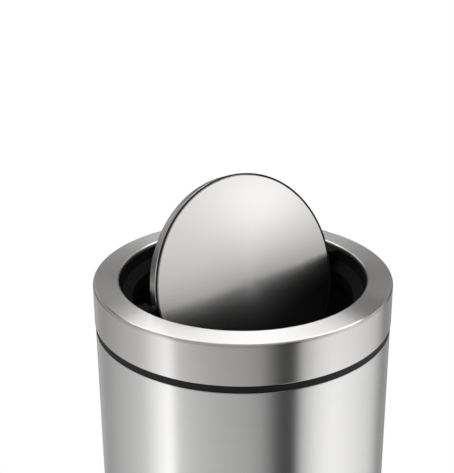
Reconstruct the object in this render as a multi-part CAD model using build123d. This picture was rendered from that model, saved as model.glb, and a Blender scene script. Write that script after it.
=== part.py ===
from build123d import *
import math
import os

os.makedirs("parts", exist_ok=True)

# Overall size
overall_height = 760.0
outer_radius = 177.5

# Sheet and moulding thickness
shell_sheet = 0.8
flap_sheet = 0.7
moulding_wall = 2.2
seat_gap = 0.3

# Collar of the lid
collar_height = 51.4
collar_top_width = 30.5
collar_hem_width = 6.1
corner_radius = 3.5
lip_rise = 1.4
lip_radius = 2.0
lip_depth = 4.5
hem_bend = 1.4

# Black band between body and lid
band_height = 8.3
band_recess = 1.5

# Body tube
body_step = 0.7
body_hem = 3.6

# Rim ring inside the body
rim_wall = 2.5
rim_skirt_depth = 16.3
snap_height = 2.0
snap_reach = 1.6
snap_taper = 7.0

# Lid moulding
spigot_gap = 0.5
spigot_depth = 15.3
flange_thickness = 2.5
frame_corner_cut = 4.2
frame_foot_cut = 1.0
frame_rib_count = 8
frame_rib_thickness = 2.0
frame_rib_height = 26.0
web_depth = 5.0
web_step = 4.0

# Throat ring
throat_hook = 6.0
throat_wall_slant = 3.5
ledge_depth = 16.0
ledge_width = 11.2
ledge_fall = 9.0
ledge_skirt_depth = 22.0

# Foot ring, floor pan and feet
base_height = 15.0
base_edge_radius = 1.0
base_lift = 2.0
base_ring_width = 27.5
base_skirt_height = 28.0
floor_panel_margin = 12.0
floor_panel_rise = 4.0
floor_wall_height = 12.0
floor_wall_gap = 0.5
floor_bend = 2.5
foot_count = 6
foot_circle_margin = 15.5
foot_radius = 8.0
foot_height = 4.0
foot_stud_radius = 3.0
foot_stud_length = 6.0
foot_edge_radius = 1.0
boss_margin = 1.5

# Screws
base_screw_count = 3
screw_radius = 1.75
screw_head_radius = 3.4
screw_head_height = 2.0
screw_length = 9.0
screw_slot_width = 1.0
screw_slot_depth = 0.8
screw_clearance = 0.2
small_screw_radius = 1.25
small_screw_head_radius = 2.3
small_screw_head_height = 1.5
small_screw_length = 12.0

# Flap axle and its bearings, along the axle from the inner face of the lug
axle_lift = 6.2
axle_yaw = 38.2
flap_opening = 73.6
swing_limit = 88.0
journal_radius = 2.5
journal_reach = 10.5
journal_end_gap = 0.3
groove_end_gap = 0.5
running_clearance = 0.05
bushing_wall = 2.0
shank_radius = 4.0
shank_depth = 18.0
pin_fit = 0.05
pin_collar_radius = 5.0
pin_collar_length = 1.2
pin_collar_gap = 0.2
stop_inner_radius = 3.2
stop_end_gap = 1.1
stop_nib_length = 2.3
stop_nib_width = 2.4
stop_nib_reach = 6.6
stop_play = 1.0

# Pivot lugs and their caps
lug_half_width = 11.5
lug_length = 14.0
lug_depth = 16.5
cap_length = 12.0
cap_height = 6.2
cap_edge_radius = 2.0
cap_screw_offset = 8.0

# Flap: radii inward from the edge, heights above the axle with the flap closed
flap_gap = 3.7
face_top = 11.5
face_edge_bottom = 7.9
face_bend = 1.6
edge_ring_width = 1.0
edge_ring_top = 11.9
edge_ring_round = 0.4
edge_ring_foot = 7.6
pan_flange_top = 7.1
pan_flange_width = 10.1
pan_shoulder_inset = 0.3
pan_shoulder_bend = 2.0
pan_wall_slant = 1.0
pan_bottom = -7.5
pan_corner_bend = 2.0

# Carrier inside the flap
core_inset = 12.6
core_deck_thickness = 2.0
core_hoop_thickness = 2.5
core_beam_width = 14.0
core_rib_thickness = 2.5
core_rib_angles = (60.0, 120.0)
core_boss_radius = 5.0
core_boss_inset = 16.0
core_boss_angles = (45.0, 135.0, 225.0, 315.0)

# Counterweight
weight_length = 110.0
weight_width = 34.0
weight_thickness = 12.0
weight_edge_radius = 1.5
weight_screw_inset = 17.0
weight_screw_length = 18.0

# Radii that follow from the sizes above
body_radius = outer_radius - body_step
hem_inner_radius = body_radius - body_hem
rim_bore_radius = hem_inner_radius - seat_gap - rim_wall
spigot_radius = rim_bore_radius - spigot_gap
frame_radius = outer_radius - shell_sheet - seat_gap
throat_radius = outer_radius - collar_top_width
collar_hem_radius = outer_radius - collar_hem_width
web_end_radius = throat_radius + web_step
inner_wall_radius = throat_radius - seat_gap
ledge_wall_radius = inner_wall_radius - throat_wall_slant
ledge_radius = ledge_wall_radius - ledge_width
base_inner_radius = outer_radius - base_ring_width
floor_wall_radius = rim_bore_radius - floor_wall_gap
floor_panel_radius = base_inner_radius - floor_panel_margin
foot_circle_radius = outer_radius - foot_circle_margin
edge_ring_radius = ledge_radius - flap_gap
face_radius = edge_ring_radius - edge_ring_width
edge_ring_foot_radius = edge_ring_radius - edge_ring_foot
pan_flange_radius = edge_ring_radius - pan_flange_width
pan_shoulder_radius = edge_ring_radius - pan_shoulder_inset
pan_wall_bottom_radius = pan_shoulder_radius - pan_wall_slant
core_radius = edge_ring_radius - core_inset
core_boss_circle = core_radius - core_boss_inset
weight_screw_offset = weight_length / 2 - weight_screw_inset

# Heights that follow from the sizes above
collar_bottom = overall_height - collar_height
body_top = collar_bottom - band_height
collar_seat = collar_bottom + shell_sheet
web_bottom = overall_height - web_depth
ledge_top = overall_height - ledge_depth
axle_height = ledge_top + axle_lift
cap_top = axle_height + cap_height
lug_bottom = axle_height - lug_depth
pan_inner_floor = pan_bottom + flap_sheet
face_underside = face_top - flap_sheet
floor_seat = base_height

# Stations along the axle that follow from the sizes above
bushing_start = ledge_radius
journal_end = bushing_start + journal_reach
bushing_end = journal_end + journal_end_gap
groove_end = journal_end + groove_end_gap
lug_end = bushing_start + lug_length
cap_end = bushing_start + cap_length
pin_collar_start = pan_shoulder_radius + pin_collar_gap
pin_collar_end = pin_collar_start + pin_collar_length
stop_end = bushing_start - stop_end_gap
stop_nib_start = bushing_start - stop_nib_length
shank_start = core_radius - shank_depth
bushing_radius = journal_radius + running_clearance + bushing_wall


def turned(points):
    """Solid of revolution of a closed outline of radius and height."""
    outline = make_face(Polyline(*points, close=True))
    return revolve(Plane.XZ * outline, Axis.Z)


def pressed(points, bends, thickness, side):
    """Sheet of revolution that follows a bent line of radius and height."""
    line = FilletPolyline(*points, radius=bends)
    strip = line.wire().offset_2d(thickness, kind=Kind.ARC, side=side, closed=True)
    return revolve(Plane.XZ * make_face(strip.edges()), Axis.Z)


def disc(radius, bottom, top, place=(0.0, 0.0)):
    """Upright cylinder between two heights."""
    column = Cylinder(radius, top - bottom, align=(Align.CENTER, Align.CENTER, Align.MIN))
    return Pos(place[0], place[1], bottom) * column


def block(start, end, half_width, bottom, top):
    """Box along the axle, given by its span along it and its heights."""
    box = Box(end - start, 2 * half_width, top - bottom, align=(Align.MIN, Align.CENTER, Align.MIN))
    return Pos(start, 0, bottom) * box


def rod(radius, start, end):
    """Cylinder along the axle."""
    column = Cylinder(radius, end - start, align=(Align.CENTER, Align.CENTER, Align.MIN))
    return Pos(start, 0, 0) * Rot(0, 90, 0) * column


def on_circle(radius, angles):
    """Points on a circle round the axis."""
    return [(radius * math.cos(math.radians(a)), radius * math.sin(math.radians(a))) for a in angles]


def even_angles(count, start=0.0):
    """Equal division of the circle."""
    return [start + index * 360.0 / count for index in range(count)]


def screw(radius, head_radius, head_height, length):
    """Slotted pan head screw, head up, with the seat of its head at height zero."""
    head = disc(head_radius, 0, head_height)
    head = fillet(head.edges().group_by(Axis.Z)[-1], head_height / 2)
    slot = Pos(0, 0, head_height) * Box(2 * head_radius, screw_slot_width, 2 * screw_slot_depth)
    shank = disc(radius, -length, 0)
    shank = chamfer(shank.edges().group_by(Axis.Z)[0], radius / 2)
    return head + shank - slot


def save(shape, name):
    """One file for each piece."""
    export_step(shape, f"parts/{name}.step")


# Body tube with a turned hem at both ends
body_path = [
    (hem_inner_radius, base_height),
    (body_radius, base_height),
    (body_radius, body_top),
    (hem_inner_radius, body_top),
]
body_shell = pressed(body_path, hem_bend, shell_sheet, Side.LEFT)
save(body_shell, "body_shell")

# Rim ring that snaps under the upper hem
rim_skirt_radius = hem_inner_radius - seat_gap
rim_snap_top = body_top - shell_sheet - seat_gap
rim_snap_bottom = rim_snap_top - snap_height
rim_ring = turned([
    (rim_bore_radius, collar_bottom),
    (rim_bore_radius, body_top - rim_skirt_depth),
    (rim_skirt_radius, body_top - rim_skirt_depth),
    (rim_skirt_radius, rim_snap_bottom - snap_taper),
    (rim_skirt_radius + snap_reach, rim_snap_bottom),
    (rim_skirt_radius + snap_reach, rim_snap_top),
    (rim_skirt_radius, rim_snap_top),
    (rim_skirt_radius, body_top),
    (outer_radius - band_recess, body_top),
    (outer_radius - band_recess, collar_bottom),
])
save(rim_ring, "rim_ring")

# Foot ring, an open channel with a skirt that snaps over the lower hem
base_skirt_radius = hem_inner_radius - seat_gap
base_snap_bottom = base_height + shell_sheet + seat_gap
base_snap_top = base_snap_bottom + snap_height
base_ring = turned([
    (outer_radius, base_lift),
    (outer_radius, base_height - base_edge_radius),
    (outer_radius - base_edge_radius, base_height),
    (base_skirt_radius, base_height),
    (base_skirt_radius, base_snap_bottom),
    (base_skirt_radius + snap_reach, base_snap_bottom),
    (base_skirt_radius + snap_reach, base_snap_top),
    (base_skirt_radius, base_snap_top + snap_taper),
    (base_skirt_radius, base_skirt_height),
    (rim_bore_radius, base_skirt_height),
    (rim_bore_radius, base_height),
    (base_inner_radius, base_height),
    (base_inner_radius, base_lift),
    (base_inner_radius + moulding_wall, base_lift),
    (base_inner_radius + moulding_wall, base_height - moulding_wall),
    (outer_radius - moulding_wall, base_height - moulding_wall),
    (outer_radius - moulding_wall, base_lift),
])
foot_places = on_circle(foot_circle_radius, even_angles(foot_count))
screw_places = on_circle(foot_circle_radius, even_angles(base_screw_count, 180.0 / foot_count))
for place in foot_places:
    base_ring += disc(foot_radius + boss_margin, foot_height, base_height - moulding_wall, place)
for place in screw_places:
    base_ring += disc(screw_head_radius + boss_margin, foot_height, base_height - moulding_wall, place)
for place in foot_places:
    base_ring -= disc(foot_stud_radius, foot_height, foot_height + foot_stud_length + seat_gap, place)
for place in screw_places:
    base_ring -= disc(screw_radius, base_height - screw_length, base_height, place)
save(base_ring, "base_ring")

# Floor pan, resting on the foot ring
panel_edge = floor_panel_radius + floor_panel_rise
floor_path = [
    (0, floor_seat + floor_panel_rise),
    (floor_panel_radius, floor_seat + floor_panel_rise),
    (panel_edge + floor_panel_rise, floor_seat),
    (floor_wall_radius, floor_seat),
    (floor_wall_radius, floor_seat + floor_wall_height),
]
floor_pan = pressed(floor_path, floor_bend, shell_sheet, Side.LEFT)
for place in screw_places:
    floor_pan -= disc(screw_radius + screw_clearance, 0, base_skirt_height, place)
save(floor_pan, "floor_pan")

# Rubber feet
for number, place in enumerate(foot_places, 1):
    pad = disc(foot_radius, 0, foot_height)
    pad = fillet(pad.edges().group_by(Axis.Z)[0], foot_edge_radius)
    stud = disc(foot_stud_radius - pin_fit, foot_height, foot_height + foot_stud_length)
    save(Pos(place[0], place[1], 0) * (pad + stud), f"foot_pad_{number}")

# Screws of the floor pan
base_screw = screw(screw_radius, screw_head_radius, screw_head_height, screw_length)
for number, place in enumerate(screw_places, 1):
    seat = Pos(place[0], place[1], floor_seat + shell_sheet)
    save(seat * base_screw, f"base_screw_{number}")

# Collar of the lid, hemmed under the moulding and rolled into the throat
collar_path = [
    (collar_hem_radius, collar_bottom),
    (outer_radius, collar_bottom),
    (outer_radius, overall_height - lip_rise),
    (throat_radius, overall_height),
    (throat_radius, overall_height - lip_depth),
]
collar_shell = pressed(collar_path, [hem_bend, corner_radius, lip_radius], shell_sheet, Side.LEFT)
save(collar_shell, "collar_shell")

# Lid moulding: outer wall, web, flange and the spigot that centres the lid
web_outer_top = overall_height - lip_rise - shell_sheet - 2 * seat_gap
web_inner_top = overall_height - shell_sheet - 2 * seat_gap
frame_shoulder = frame_radius - frame_corner_cut
frame_inner_radius = frame_radius - moulding_wall
spigot_bore = spigot_radius - moulding_wall
spigot_bottom = collar_bottom - spigot_depth - band_height
lid_frame = turned([
    (frame_radius - frame_foot_cut, collar_seat),
    (frame_radius, collar_seat + frame_foot_cut),
    (frame_radius, web_outer_top - frame_corner_cut),
    (frame_shoulder, web_outer_top),
    (web_end_radius, web_inner_top),
    (web_end_radius, web_bottom),
    (frame_shoulder - moulding_wall / 2, web_bottom),
    (frame_inner_radius, web_outer_top - frame_corner_cut - moulding_wall / 2),
    (frame_inner_radius, collar_seat + flange_thickness),
    (spigot_bore, collar_seat + flange_thickness),
    (spigot_bore, spigot_bottom),
    (spigot_radius, spigot_bottom),
    (spigot_radius, collar_seat),
])
hook_radius = web_end_radius + throat_hook
rib_reach = frame_inner_radius + moulding_wall / 2
rib_top = web_bottom + moulding_wall / 2
rib = block(hook_radius + seat_gap, rib_reach, frame_rib_thickness / 2, rib_top - frame_rib_height, rib_top)
for angle in even_angles(frame_rib_count, axle_yaw):
    lid_frame += Rot(0, 0, angle) * rib
save(lid_frame, "lid_frame")

# Throat ring: hook under the web, inner wall, sloping ledge and skirt
lip_back_radius = throat_radius + shell_sheet + seat_gap
lip_bottom = overall_height - lip_depth - seat_gap
ledge_under = ledge_top - moulding_wall
throat_ring = turned([
    (lip_back_radius, web_inner_top),
    (lip_back_radius, lip_bottom),
    (inner_wall_radius, lip_bottom),
    (ledge_wall_radius, ledge_top),
    (ledge_radius, ledge_top - ledge_fall),
    (ledge_radius, ledge_top - ledge_skirt_depth),
    (ledge_radius + moulding_wall, ledge_top - ledge_skirt_depth),
    (ledge_radius + moulding_wall, ledge_under - ledge_fall),
    (ledge_wall_radius + moulding_wall, ledge_under),
    (lip_back_radius + moulding_wall, web_bottom - moulding_wall),
    (hook_radius, web_bottom - moulding_wall),
    (hook_radius, web_bottom),
    (web_end_radius - seat_gap, web_bottom),
    (web_end_radius - seat_gap, web_inner_top),
])

# Pivot lugs with the groove of the bearing, the screw holes and the stop
lug = block(bushing_start, lug_end, lug_half_width, lug_bottom, axle_height)
nib_top = axle_height - stop_inner_radius
nib = block(stop_nib_start, bushing_start, stop_nib_width / 2, axle_height - stop_nib_reach, nib_top)
groove = Pos(0, 0, axle_height) * rod(bushing_radius, bushing_start, groove_end)
cap_screw_seat = cap_top - small_screw_head_height
cap_screw_middle = (bushing_start + cap_end) / 2
cap_screw_places = [(cap_screw_middle, -cap_screw_offset), (cap_screw_middle, cap_screw_offset)]
lug_cuts = groove
for place in cap_screw_places:
    lug_cuts += disc(small_screw_radius, cap_screw_seat - small_screw_length, axle_height, place)
sides = {"left": axle_yaw + 180.0, "right": axle_yaw}
for angle in sides.values():
    throat_ring += Rot(0, 0, angle) * (lug + nib)
for angle in sides.values():
    throat_ring -= Rot(0, 0, angle) * lug_cuts
save(throat_ring, "throat_ring")

# Bearing caps and bushings
cap = block(bushing_start, cap_end, lug_half_width, axle_height, cap_top)
cap_side_edges = cap.edges().filter_by(Axis.X).group_by(Axis.Z)[-1]
cap = fillet(cap_side_edges, cap_edge_radius) - groove
for place in cap_screw_places:
    cap -= disc(small_screw_radius + screw_clearance, axle_height, cap_top, place)
    cap -= disc(small_screw_head_radius + screw_clearance, cap_screw_seat, cap_top, place)
bushing = rod(bushing_radius, bushing_start, bushing_end)
bushing -= rod(journal_radius + running_clearance, bushing_start, bushing_end)
cap_screw = screw(small_screw_radius, small_screw_head_radius, small_screw_head_height, small_screw_length)
for side, angle in sides.items():
    turn = Rot(0, 0, angle)
    save(turn * cap, f"saddle_cap_{side}")
    save(turn * Pos(0, 0, axle_height) * bushing, f"bushing_{side}")
    for number, place in enumerate(cap_screw_places, 1):
        seat = turn * Pos(place[0], place[1], cap_screw_seat)
        save(seat * cap_screw, f"saddle_screw_{side}_{number}")

# The flap is drawn closed and level with its axle along X, then swung open
flap_place = Pos(0, 0, axle_height) * Rot(0, 0, axle_yaw) * Rot(flap_opening, 0, 0)

# Steel face with a turned edge
face_path = [(0, face_top), (face_radius, face_top), (face_radius, face_edge_bottom)]
face_plate = pressed(face_path, face_bend, flap_sheet, Side.RIGHT)
save(flap_place * face_plate, "face_plate")

# Black ring round the face, held between face and pan
ring_bore = face_radius + running_clearance
edge_ring = turned([
    (edge_ring_foot_radius, pan_flange_top),
    (edge_ring_radius, pan_flange_top),
    (edge_ring_radius, edge_ring_top - edge_ring_round),
    (edge_ring_radius - edge_ring_round, edge_ring_top),
    (ring_bore, edge_ring_top),
    (ring_bore, face_edge_bottom),
    (edge_ring_foot_radius, face_edge_bottom),
])
save(flap_place * edge_ring, "edge_ring")

# Pan behind the face: flange, rounded shoulder, wall and flat floor
pan_path = [
    (pan_flange_radius, pan_flange_top),
    (pan_shoulder_radius, pan_flange_top),
    (pan_wall_bottom_radius, pan_bottom),
    (0, pan_bottom),
]
back_pan = pressed(pan_path, [pan_shoulder_bend, pan_corner_bend], flap_sheet, Side.RIGHT)

# Screw places of the pan and of the counterweight
pan_screw_places = on_circle(core_boss_circle, core_boss_angles)
weight_screw_places = [(-weight_screw_offset, 0), (weight_screw_offset, 0)]
hole_radius = small_screw_radius + screw_clearance
for place in pan_screw_places + weight_screw_places:
    back_pan -= disc(hole_radius, pan_bottom - flap_sheet, pan_inner_floor + flap_sheet, place)
for turn in (Rot(0, 0, 0), Rot(0, 0, 180)):
    back_pan -= turn * rod(shank_radius + pin_fit, core_radius, pin_collar_end)
save(flap_place * back_pan, "back_pan")

# Carrier: deck under the face, hoop, beam along the axle, ribs and screw bosses
core = disc(core_radius, face_underside - core_deck_thickness, face_underside)
hoop = disc(core_radius, pan_inner_floor, face_underside)
core += hoop - disc(core_radius - core_hoop_thickness, pan_inner_floor, face_underside)
core_inside = core_radius - core_hoop_thickness / 2
core += block(-core_inside, core_inside, core_beam_width / 2, pan_inner_floor, face_underside)
for angle in core_rib_angles:
    rib = block(-core_inside, core_inside, core_rib_thickness / 2, pan_inner_floor, face_underside)
    core += Rot(0, 0, angle) * rib
for place in pan_screw_places:
    core += disc(core_boss_radius, pan_inner_floor, face_underside, place)
small_hole_depth = small_screw_length - flap_sheet
for place in pan_screw_places:
    core -= disc(small_screw_radius, pan_inner_floor, pan_inner_floor + small_hole_depth, place)
weight_hole_depth = weight_screw_length - flap_sheet - weight_thickness + small_screw_head_height
for place in weight_screw_places:
    core -= disc(small_screw_radius, pan_inner_floor, pan_inner_floor + weight_hole_depth, place)
for turn in (Rot(0, 0, 0), Rot(0, 0, 180)):
    core -= turn * rod(shank_radius + pin_fit, shank_start, pin_collar_end)
save(flap_place * core, "flap_core")

# Axle pins: shank in the carrier, collar, stop segment and journal
nib_half_angle = math.degrees(math.asin(stop_nib_width / 2 / stop_inner_radius))
stop_half_angle = 180.0 - swing_limit - nib_half_angle - stop_play
stop_ring = rod(pin_collar_radius, pin_collar_end, stop_end)
stop_ring -= rod(stop_inner_radius, pin_collar_end, stop_end)
wedge_reach = 2 * pin_collar_radius
wedge_points = [(0, 0)]
for step in (-1.0, -0.5, 0.0, 0.5, 1.0):
    bearing = math.radians(90.0 + step * stop_half_angle)
    wedge_points.append((wedge_reach * math.cos(bearing), wedge_reach * math.sin(bearing)))
wedge_face = Plane.YZ * make_face(Polyline(*wedge_points, close=True))
wedge = Pos(pin_collar_end, 0, 0) * extrude(wedge_face, stop_end - pin_collar_end)
pin = rod(shank_radius, shank_start, pin_collar_start)
pin += rod(pin_collar_radius, pin_collar_start, pin_collar_end)
pin += rod(journal_radius, pin_collar_end, journal_end)
pin += stop_ring & wedge
save(flap_place * Rot(0, 0, 180) * pin, "axle_pin_left")
save(flap_place * pin, "axle_pin_right")

# Counterweight bar on the underside of the pan
bar = SlotOverall(weight_length, weight_width)
weight = extrude(Pos(0, 0, pan_bottom - weight_thickness) * bar, weight_thickness)
weight = fillet(weight.edges().group_by(Axis.Z)[0], weight_edge_radius)
weight_bottom = pan_bottom - weight_thickness
weight_seat = weight_bottom + small_screw_head_height
for place in weight_screw_places:
    weight -= disc(hole_radius, weight_bottom, pan_bottom, place)
    weight -= disc(small_screw_head_radius + screw_clearance, weight_bottom, weight_seat, place)
save(flap_place * weight, "counterweight")

# Screws of the flap, driven from below
flip = Rot(180, 0, 0)
pan_screw = screw(small_screw_radius, small_screw_head_radius, small_screw_head_height, small_screw_length)
weight_screw = screw(small_screw_radius, small_screw_head_radius, small_screw_head_height, weight_screw_length)
for number, place in enumerate(pan_screw_places, 1):
    save(flap_place * Pos(place[0], place[1], pan_bottom) * flip * pan_screw, f"pan_screw_{number}")
for number, place in enumerate(weight_screw_places, 1):
    save(flap_place * Pos(place[0], place[1], weight_seat) * flip * weight_screw, f"weight_screw_{number}")
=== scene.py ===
import math

import bmesh
import bpy
from mathutils import Matrix, Vector


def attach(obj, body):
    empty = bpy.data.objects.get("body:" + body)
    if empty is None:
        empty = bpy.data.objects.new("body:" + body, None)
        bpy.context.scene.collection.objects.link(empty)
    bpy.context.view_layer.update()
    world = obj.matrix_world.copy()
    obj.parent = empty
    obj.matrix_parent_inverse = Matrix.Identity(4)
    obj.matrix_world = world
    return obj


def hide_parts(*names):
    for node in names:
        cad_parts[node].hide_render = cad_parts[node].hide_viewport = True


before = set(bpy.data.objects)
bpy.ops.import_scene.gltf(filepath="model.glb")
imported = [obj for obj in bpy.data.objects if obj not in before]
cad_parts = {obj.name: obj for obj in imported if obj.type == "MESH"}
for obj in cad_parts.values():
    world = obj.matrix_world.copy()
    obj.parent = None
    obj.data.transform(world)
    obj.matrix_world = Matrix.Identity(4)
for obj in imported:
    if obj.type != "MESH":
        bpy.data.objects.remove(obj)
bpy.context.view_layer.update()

# Sizes are in metres and turns in degrees

# Body tube
body_radius = 0.1768
base_height = 0.015
band_height = 0.0083
sheet = 0.0008
hem_depth = 0.0036
hem_rounding = 0.0014

# Collar
outer_radius = 0.1775
rim_height = 0.760
rim_fall = 0.0014
rim_rounding = 0.0035
collar_bottom = 0.7086
collar_hem_radius = 0.1714
collar_hem_rounding = 0.0014
throat_radius = 0.147
lip_depth = 0.0045
lip_rounding = 0.0020
body_top = collar_bottom - band_height

# Flap, in its own frame: Z across the disc, 0 at the axle
flap_sheet = 0.0007
face_radius = 0.1273
face_top = 0.0115
face_low = 0.0079
face_rounding = 0.0022
trim_radius = 0.12815
trim_inner_radius = 0.1268
trim_lip_radius = 0.1274
trim_low = 0.0090
trim_lip = 0.0113
trim_top = 0.0119
trim_roundings = [0.0002, 0.0004, 0.0001]
bead_inner_radius = 0.1182
bead_radius = 0.1282
bead_rounding = 0.0016
pan_radius = 0.1262
pan_floor = -0.0075
pan_rounding = 0.0034

# Pose of the flap at rest
axle_height = 0.7502
axle_yaw = 38.2
flap_opening = 73.6
yaw_turn = Matrix.Rotation(math.radians(axle_yaw), 4, "Z")
opening_turn = Matrix.Rotation(math.radians(flap_opening), 4, "X")
flap_place = Matrix.Translation((0, 0, axle_height)) @ yaw_turn @ opening_turn

# Relief of the finishes
relief_height = 0.0001
line_relief = 0.015
metal_relief = 0.1
grain_relief = 0.12
seam_relief = 8.0

# Scales of the finishes, in waves per metre
line_scale = 1100.0
line_sweep = 6.0
smudge_scale = 7.0
cloud_scale = 160.0
grain_scale = 1800.0
broad_scale = 22.0

# How far roughness varies to either side
brushed_wear = 0.015
metal_wear = 0.08
moulded_wear = 0.06

# Share of the fine brushed lines in colour and in wear. The rest is broad smudges
line_tint = 0.6
line_wear = 0.5

# Brushing runs round the Z axis, a quarter of a full turn from the profile
brushing_turn = 0.25


class Nodes:
    """Node tree with short calls for the nodes that the finishes and the studio share."""

    def __init__(self, tree):
        self.tree = tree

    def link(self, output, target):
        self.tree.links.new(output, target)

    def add(self, kind, **values):
        node = self.tree.nodes.new(kind)
        for key, value in values.items():
            setattr(node, key, value)
        return node

    def math(self, operation, a, b=0.0):
        node = self.add("ShaderNodeMath", operation=operation)
        for socket, value in zip(node.inputs, (a, b)):
            if isinstance(value, (int, float)):
                socket.default_value = value
            else:
                self.link(value, socket)
        return node.outputs[0]

    def place(self):
        return self.add("ShaderNodeTexCoord").outputs["Object"]

    def split(self, vector):
        parts = self.add("ShaderNodeSeparateXYZ")
        self.link(vector, parts.inputs[0])
        return parts.outputs

    def blend(self, share, first, second):
        """Share of the first value, and the rest of the second."""
        return self.math("ADD", self.math("MULTIPLY", first, share), self.math("MULTIPLY", second, 1 - share))

    def noise(self, vector, scale, detail, roughness):
        node = self.add("ShaderNodeTexNoise")
        node.inputs["Scale"].default_value = scale
        node.inputs["Detail"].default_value = detail
        node.inputs["Roughness"].default_value = roughness
        self.link(vector, node.inputs["Vector"])
        return node.outputs["Fac"]

    def between(self, factor, low, high, start=0.0, end=1.0):
        """Value that goes from low to high as the factor goes from start to end."""
        node = self.add("ShaderNodeMapRange")
        node.inputs["From Min"].default_value = start
        node.inputs["From Max"].default_value = end
        node.inputs["To Min"].default_value = low
        node.inputs["To Max"].default_value = high
        self.link(factor, node.inputs["Value"])
        return node.outputs["Result"]

    def mix(self, factor, first, second):
        node = self.add("ShaderNodeMixShader")
        for socket, value in zip(node.inputs, (factor, first, second)):
            self.link(value, socket)
        return node.outputs[0]

    def seen_white(self):
        """Factor that is 1 for the camera, reflections and glass, and 0 for light that falls on things."""
        ray = self.add("ShaderNodeLightPath")
        seen = ray.outputs["Is Camera Ray"]
        for kind in ("Is Glossy Ray", "Is Transmission Ray"):
            seen = self.math("MAXIMUM", seen, ray.outputs[kind])
        return seen


class Finish(Nodes):
    """Node material built round its Principled shader."""

    def __init__(self, name):
        self.material = bpy.data.materials.new(name)
        self.material.use_nodes = True
        super().__init__(self.material.node_tree)
        self.shader = self.tree.nodes["Principled BSDF"]
        self.surface = self.tree.nodes["Material Output"].inputs["Surface"]

    def set(self, **values):
        """Values that are the same all over the surface."""
        for key, value in values.items():
            self.shader.inputs[key.replace("_", " ")].default_value = value

    def tint(self, factor, low, high):
        node = self.add("ShaderNodeMix", data_type="RGBA")
        node.inputs["A"].default_value = (*low, 1)
        node.inputs["B"].default_value = (*high, 1)
        self.link(factor, node.inputs["Factor"])
        self.link(node.outputs["Result"], self.shader.inputs["Base Color"])

    def wear(self, factor, roughness, reach):
        self.link(self.between(factor, roughness - reach, roughness + reach), self.shader.inputs["Roughness"])

    def bump(self, height, strength):
        node = self.add("ShaderNodeBump")
        node.inputs["Strength"].default_value = strength
        node.inputs["Distance"].default_value = relief_height
        self.link(height, node.inputs["Height"])
        self.link(node.outputs["Normal"], self.shader.inputs["Normal"])


def ring_brushed(name, low, high, roughness, spread, seam_width=0.0):
    """Steel brushed in circles round its own Z axis, with a polished-down weld along its back if asked."""
    n = Finish(name)
    place = n.place()
    x, y, z = n.split(place)
    radius = n.math("SQRT", n.math("ADD", n.math("MULTIPLY", x, x), n.math("MULTIPLY", y, y)))
    stretch = n.add("ShaderNodeCombineXYZ")
    outward = n.math("ADD", n.math("MULTIPLY", radius, line_scale), n.math("MULTIPLY", x, line_sweep))
    n.link(outward, stretch.inputs[0])
    n.link(n.math("MULTIPLY", y, line_sweep), stretch.inputs[1])
    n.link(n.math("MULTIPLY", z, line_scale), stretch.inputs[2])
    lines = n.noise(stretch.outputs[0], scale=1.0, detail=2.0, roughness=0.5)
    smudge = n.noise(place, smudge_scale, detail=1.0, roughness=0.5)
    n.tint(n.blend(line_tint, lines, smudge), low, high)
    n.wear(n.blend(line_wear, lines, smudge), roughness, brushed_wear)
    relief = lines
    if seam_width:
        beside = n.math("MINIMUM", n.math("DIVIDE", n.math("ABSOLUTE", x), seam_width), 1.0)
        plain = n.math("MAXIMUM", beside, n.math("LESS_THAN", y, 0.0))
        relief = n.math("ADD", lines, n.math("MULTIPLY", plain, seam_relief))
    n.bump(relief, line_relief)
    n.set(Metallic=1.0, Anisotropic=spread, Anisotropic_Rotation=brushing_turn)
    tangent = n.add("ShaderNodeTangent", direction_type="RADIAL", axis="Z")
    n.link(tangent.outputs[0], n.shader.inputs["Tangent"])
    return n.material


def plain_metal(name, low, high, roughness):
    """Unbrushed metal of screws, pins and pressed inner sheet."""
    n = Finish(name)
    cloud = n.noise(n.place(), cloud_scale, detail=4.0, roughness=0.6)
    n.tint(cloud, low, high)
    n.wear(cloud, roughness, metal_wear)
    n.bump(cloud, metal_relief)
    n.set(Metallic=1.0)
    return n.material


def moulded(name, low, high, roughness, shine=0.5):
    """Moulded plastic or rubber with a fine spark-eroded grain."""
    n = Finish(name)
    place = n.place()
    fine = n.noise(place, grain_scale, detail=2.0, roughness=0.5)
    broad = n.noise(place, broad_scale, detail=4.0, roughness=0.6)
    n.tint(broad, low, high)
    n.wear(broad, roughness, moulded_wear)
    n.bump(fine, grain_relief)
    n.set(Specular_IOR_Level=shine)
    return n.material


# Finishes: name, darkest and lightest colour, roughness
steel_body = ring_brushed(
    "steel_body", (0.66, 0.655, 0.65), (0.76, 0.755, 0.75), 0.26, spread=0.95, seam_width=0.0010
)
steel_collar = ring_brushed("steel_collar", (0.60, 0.59, 0.58), (0.70, 0.69, 0.68), 0.26, spread=0.95)
steel_flap = ring_brushed("steel_flap", (0.62, 0.61, 0.60), (0.69, 0.68, 0.67), 0.24, spread=0.30)
inner_steel = plain_metal("inner_steel", (0.34, 0.34, 0.34), (0.44, 0.44, 0.43), 0.42)
# Near-black colour for the inside of the body tube: painted shade of the dark interior
inner_painted_shade = moulded("inner_painted_shade", (0.010, 0.010, 0.010), (0.016, 0.016, 0.016), 0.50)
zinc = plain_metal("zinc", (0.48, 0.48, 0.49), (0.60, 0.60, 0.60), 0.35)
black = moulded("black_moulding", (0.006, 0.006, 0.006), (0.010, 0.010, 0.010), 0.55, shine=0.25)
throat_black = moulded("throat_black", (0.004, 0.004, 0.004), (0.006, 0.006, 0.006), 0.65, shine=0.06)
# Near-black colour of the axle pin: painted shade of the pin deep in the throat
pin_steel_painted_shade = plain_metal("pin_steel_painted_shade", (0.050, 0.050, 0.050), (0.080, 0.080, 0.080), 0.45)
nylon = moulded("nylon", (0.62, 0.62, 0.58), (0.70, 0.70, 0.66), 0.45)
rubber = moulded("rubber", (0.016, 0.016, 0.016), (0.026, 0.026, 0.026), 0.75)


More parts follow.
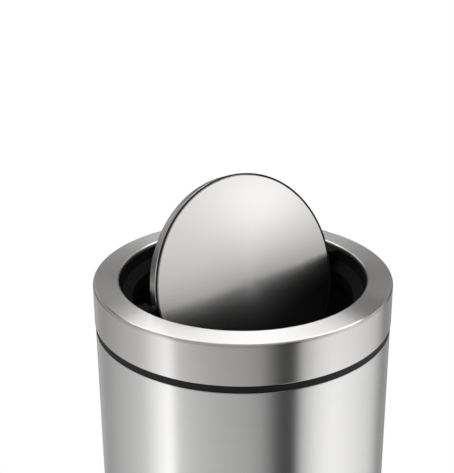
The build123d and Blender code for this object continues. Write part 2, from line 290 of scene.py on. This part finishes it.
def rounded(points, radii, steps=10):
    """Outline of radius and height with an arc at each inner point."""
    line = [Vector(points[0])]
    for before, here, after, radius in zip(points, points[1:], points[2:], radii):
        here = Vector(here)
        back = (Vector(before) - here).normalized()
        ahead = (Vector(after) - here).normalized()
        half = back.angle(ahead) / 2
        reach = radius / math.tan(half)
        centre = here + (back + ahead).normalized() * (radius / math.sin(half))
        start = here + back * reach - centre
        turn = start.angle_signed(here + ahead * reach - centre)
        for step in range(steps + 1):
            arc = start.copy()
            arc.rotate(Matrix.Rotation(-turn * step / steps, 2))
            line.append(centre + arc)
    line.append(Vector(points[-1]))
    return line


def thickened(line, thickness):
    """Closed outline of a sheet: the line, and the same line moved to its left."""
    moved = []
    for index, point in enumerate(line):
        before = line[max(index - 1, 0)]
        after = line[min(index + 1, len(line) - 1)]
        ahead = (after - before).normalized()
        moved.append(point + Vector((-ahead.y, ahead.x)) * thickness)
    return list(line) + moved[::-1]


def link_piece(name, mesh):
    """New object in the scene."""
    piece = bpy.data.objects.new(name, mesh)
    bpy.context.collection.objects.link(piece)
    return piece


def lathe(name, outline, body, material, node, place=Matrix(), segments=288, crease=35, on_axis=1e-6):
    """Piece of revolution from a closed outline, which stands for the CAD node named."""
    mesh = bpy.data.meshes.new(name)
    shape = bmesh.new()
    angles = [2 * math.pi * index / segments for index in range(segments)]
    rings = []
    for radius, height in outline:
        if radius < on_axis:
            rings.append([shape.verts.new((0, 0, height))])
        else:
            circle = [(radius * math.cos(angle), radius * math.sin(angle), height) for angle in angles]
            rings.append([shape.verts.new(point) for point in circle])
    for low, high in zip(rings, rings[1:] + rings[:1]):
        for index in range(segments):
            after = (index + 1) % segments
            corners = [low[index % len(low)], low[after % len(low)]]
            corners += [high[after % len(high)], high[index % len(high)]]
            corners = list(dict.fromkeys(corners))
            if len(corners) > 2:
                shape.faces.new(corners)
    bmesh.ops.recalc_face_normals(shape, faces=shape.faces)
    shape.to_mesh(mesh)
    shape.free()
    mesh.polygons.foreach_set("use_smooth", [True] * len(mesh.polygons))
    mesh.set_sharp_from_angle(angle=math.radians(crease))
    piece = link_piece(name, mesh)
    piece.matrix_world = place
    mesh.materials.append(material)
    weigh = piece.modifiers.new("weighted_normals", "WEIGHTED_NORMAL")
    weigh.keep_sharp = True
    weigh.weight = 100
    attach(piece, body)
    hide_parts(node)
    return piece


# Body tube, coloured near black inside: painted shade of the can's dark interior
hem_inner = body_radius - hem_depth
body_line = rounded(
    [(hem_inner, base_height), (body_radius, base_height), (body_radius, body_top), (hem_inner, body_top)],
    [hem_rounding, hem_rounding],
)
body_shell = lathe("body_tube", thickened(body_line, sheet), "can", steel_body, "body_shell")
body_shell.data.materials.append(inner_painted_shade)
for face in body_shell.data.polygons:
    inside = math.hypot(face.center.x, face.center.y) < body_radius - sheet / 2
    if inside and base_height < face.center.z < body_top:
        face.material_index = 1

# Collar with its rolled lip
collar_line = rounded(
    [
        (collar_hem_radius, collar_bottom),
        (outer_radius, collar_bottom),
        (outer_radius, rim_height - rim_fall),
        (throat_radius, rim_height),
        (throat_radius, rim_height - lip_depth),
    ],
    [collar_hem_rounding, rim_rounding, lip_rounding],
)
collar = lathe("collar", thickened(collar_line, sheet), "lid", steel_collar, "collar_shell")

# Steel face of the flap
face_line = rounded([(0, face_top), (face_radius, face_top), (face_radius, face_low)], [face_rounding])[::-1]
flap_face = lathe("flap_face", thickened(face_line, flap_sheet), "flap", steel_flap, "face_plate", flap_place)

# Black trim round the face
trim_line = rounded(
    [
        (trim_inner_radius, trim_low),
        (trim_radius, trim_low),
        (trim_radius, trim_top),
        (trim_lip_radius, trim_top),
        (trim_inner_radius, trim_lip),
    ],
    trim_roundings,
)
trim = lathe("flap_edge_trim", trim_line, "flap", black, "edge_ring", flap_place)

# Pan behind the face, with its rolled bead
pan_line = rounded(
    [(bead_inner_radius, trim_low), (bead_radius, trim_low), (pan_radius, pan_floor), (0, pan_floor)],
    [bead_rounding, pan_rounding],
)[::-1]
pan = lathe("flap_pan", thickened(pan_line, flap_sheet), "flap", steel_flap, "back_pan", flap_place)

# Finishes of the CAD pieces that stay, by the start of their names
finishes = {
    "rim_ring": black,
    "base_ring": black,
    "lid_frame": black,
    "flap_core": black,
    "throat_ring": throat_black,
    "saddle": throat_black,
    "floor_pan": inner_steel,
    "foot_pad": rubber,
    "bushing": nylon,
    "axle_pin": pin_steel_painted_shade,
}
for name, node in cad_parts.items():
    chosen = [finish for start, finish in finishes.items() if name.startswith(start)]
    node.data.materials.clear()
    node.data.materials.append(chosen[0] if chosen else zinc)

# Floor, which fades to plain white away from the can
floor_size = 30
floor_colour = (0.86, 0.86, 0.86, 1)
plain_white = (1, 1, 1, 1)
plain_black = (0, 0, 0, 1)
bpy.ops.mesh.primitive_plane_add(size=floor_size, location=(0, 0, 0))
floor = bpy.context.object
floor.name = "floor"
paper = Finish("floor_paper")
paper.set(Base_Color=floor_colour, Roughness=0.9)
white_paper = paper.add("ShaderNodeEmission")
white_paper.inputs["Color"].default_value = plain_white
distance = paper.add("ShaderNodeVectorMath", operation="LENGTH")
paper.link(paper.place(), distance.inputs[0])
whiteness = paper.between(distance.outputs["Value"], low=0.65, high=1.0, start=0.20, end=0.62)
share = paper.math("MULTIPLY", paper.seen_white(), whiteness)
paper.link(paper.mix(share, paper.shader.outputs[0], white_paper.outputs[0]), paper.surface)
floor.data.materials.append(paper.material)

# World: a white background, and a dim room as light
room_grey = 0.14
bpy.context.scene.world = bpy.data.worlds.new("room")
bpy.context.scene.world.use_nodes = True
world = Nodes(bpy.context.scene.world.node_tree)
room = world.tree.nodes["Background"]
room.inputs["Color"].default_value = (room_grey, room_grey, room_grey, 1)
backdrop = world.add("ShaderNodeBackground")
backdrop.inputs["Color"].default_value = plain_white
room_light = world.mix(world.seen_white(), room.outputs[0], backdrop.outputs[0])
world.link(room_light, world.tree.nodes["World Output"].inputs["Surface"])

# Studio round the can: a ring wall, a floor apron, a cove and a soft box overhead
wall_radius = 1.0
wall_top = 1.30
apron_radius = 0.19
apron_depth = 0.004
roof_radius = 1.35
roof_height = 2.0
ring_segments = 180
disc_segments = 64
ring_strength = 4.0
roof_strength = 3.4
brightest_tone = 2.0

# Brightness by bearing, where 0 is behind the can, 90 left, 180 towards the camera and 270 right
wall_tones = [
    (0, 0.16), (22, 0.28), (38, 0.62), (54, 0.38), (105, 0.80), (125, 1.52), (131, 1.52), (132, 0.82),
    (160, 0.62), (184, 0.51), (193, 0.42), (205, 0.10), (217.5, 0.0), (218.5, 0.50), (231, 1.04),
    (245, 1.30), (270, 1.07), (292, 0.82), (305, 0.24), (325, 0.48), (338, 0.28), (360, 0.16),
]

# Brightness by height over the floor
wall_heights = [
    (0.0, 1.03), (0.50, 1.03), (0.60, 0.20), (0.79, 0.20), (0.815, 0.84), (1.12, 0.84), (1.20, 1.15),
    (wall_top, 1.15),
]
cove_tones = [(0, 1.20), (15, 1.70), (26, room_grey), (335, room_grey), (350, 0.60), (360, 1.20)]
cove_heights = [(0.0, 1.0), (wall_top, 1.0)]


def ring_mesh(name, low_radius, high_radius, depth, middle=0.0):
    """Open ring, straight or conical, with its middle at the height given."""
    mesh = bpy.data.meshes.new(name)
    shape = bmesh.new()
    bmesh.ops.create_cone(
        shape, cap_ends=False, segments=ring_segments, radius1=low_radius, radius2=high_radius, depth=depth
    )
    bmesh.ops.translate(shape, verts=shape.verts, vec=(0, 0, middle))
    shape.to_mesh(mesh)
    shape.free()
    return mesh


def disc_mesh(name, radius):
    """Flat disc round the origin."""
    mesh = bpy.data.meshes.new(name)
    shape = bmesh.new()
    bmesh.ops.create_circle(shape, cap_ends=True, segments=disc_segments, radius=radius)
    shape.to_mesh(mesh)
    shape.free()
    return mesh


def glowing(name, strength):
    """Black surface that glows."""
    n = Finish(name)
    n.set(Base_Color=plain_black, Specular_IOR_Level=0.0)
    n.set(Emission_Color=plain_white, Emission_Strength=strength)
    return n


def toned(n, factor, stops, full):
    """Brightness along a ramp, from pairs of a place between 0 and full and a tone there."""
    ramp = n.add("ShaderNodeValToRGB")
    n.link(factor, ramp.inputs[0])
    marks = ramp.color_ramp.elements
    for place, _ in stops[1:-1]:
        marks.new(place / full)
    for mark, (place, tone) in zip(marks, stops):
        level = tone / brightest_tone
        mark.position = place / full
        mark.color = (level, level, level, 1)
    return ramp.outputs["Color"]


def stage_screen(name, mesh, material):
    """Part of the studio, which the camera doesn't see."""
    piece = link_piece(name, mesh)
    mesh.materials.append(material)
    piece.visible_camera = False
    return piece


def ring_screen(name, mesh, tones, heights):
    """Glowing ring with tones by bearing and by height."""
    n = glowing(name, ring_strength)
    place = n.place()
    bearing = n.add("ShaderNodeTexGradient", gradient_type="RADIAL")
    n.link(place, bearing.inputs[0])
    around = toned(n, bearing.outputs["Fac"], tones, 360)
    upward = toned(n, n.math("DIVIDE", n.split(place)[2], wall_top), heights, wall_top)
    n.link(n.math("MULTIPLY", around, upward), n.shader.inputs["Emission Color"])
    piece = stage_screen(name, mesh, n.material)
    piece.rotation_euler = (0, 0, math.radians(-90))
    return piece


wall_mesh = ring_mesh("wall", wall_radius, wall_radius, wall_top, middle=wall_top / 2)
ring_screen("studio_wall", wall_mesh, wall_tones, wall_heights)

# Polished studio floor that only reflections show, with the tones of the wall
apron_mesh = ring_mesh("apron", apron_radius, wall_radius, apron_depth)
apron = ring_screen("studio_apron", apron_mesh, wall_tones, wall_heights)
apron.location = (0, 0, apron_depth)
apron.visible_diffuse = False
apron.visible_shadow = False

# Small soft window in front of the wall, to the right of the can
window_bearing = 257
window_distance = 0.95
window_height = 0.93
window_radius = 0.26
window_falloff = 5.2
window_strength = 2.0
pane = Finish("studio_window")
pane.tree.nodes.remove(pane.shader)
falloff = pane.add("ShaderNodeTexGradient", gradient_type="QUADRATIC_SPHERE")
shrink = pane.add("ShaderNodeMapping")
shrink.inputs["Scale"].default_value = (window_falloff, window_falloff, window_falloff)
pane.link(pane.place(), shrink.inputs["Vector"])
pane.link(shrink.outputs["Vector"], falloff.inputs["Vector"])
window_glow = pane.add("ShaderNodeEmission")
pane.link(pane.math("MULTIPLY", falloff.outputs["Fac"], window_strength), window_glow.inputs["Strength"])
clear = pane.add("ShaderNodeBsdfTransparent")
both = pane.add("ShaderNodeAddShader")
pane.link(window_glow.outputs[0], both.inputs[0])
pane.link(clear.outputs[0], both.inputs[1])
pane.link(both.outputs[0], pane.surface)
window = stage_screen("studio_window", disc_mesh("window", window_radius), pane.material)
window_turn = math.radians(window_bearing - 180)
window.location = (
    window_distance * math.sin(window_turn),
    -window_distance * math.cos(window_turn),
    window_height,
)
window.rotation_euler = Vector(window.location).to_track_quat("Z", "Y").to_euler()

# Soft box overhead, bright over the back and the right
box_direction = (0.25, 1.0, 0.0)
box = glowing("soft_box_overhead", roof_strength)
backward = box.add("ShaderNodeVectorMath", operation="DOT_PRODUCT")
backward.inputs[1].default_value = box_direction
box.link(box.place(), backward.inputs[0])
box_fade = box.between(backward.outputs["Value"], low=0.16, high=1.0, start=0.25, end=0.80)
box.link(box_fade, box.shader.inputs["Emission Color"])
roof = stage_screen("soft_box_overhead", disc_mesh("roof", roof_radius), box.material)
roof.location = (0, 0, roof_height)

# Cove between the wall and the soft box, bright at the back left
cove_mesh = ring_mesh("cove", wall_radius, roof_radius, roof_height - wall_top)
cove = ring_screen("studio_cove", cove_mesh, cove_tones, cove_heights)
cove.location = (0, 0, (roof_height + wall_top) / 2)

# Camera at the photograph's viewing angle
lens = bpy.data.cameras.new("camera")
camera = link_piece("camera", lens)
bpy.context.scene.camera = camera
camera.location = (0.0, -1.1370, 1.2739)
aim = Vector((0.0, 0.9251, -0.3797))
camera.rotation_euler = aim.to_track_quat("-Z", "Y").to_euler()
lens.sensor_width = 36.0
lens.lens = 79.70
lens.shift_x = -0.0338

bpy.context.scene.view_settings.view_transform = "Standard"
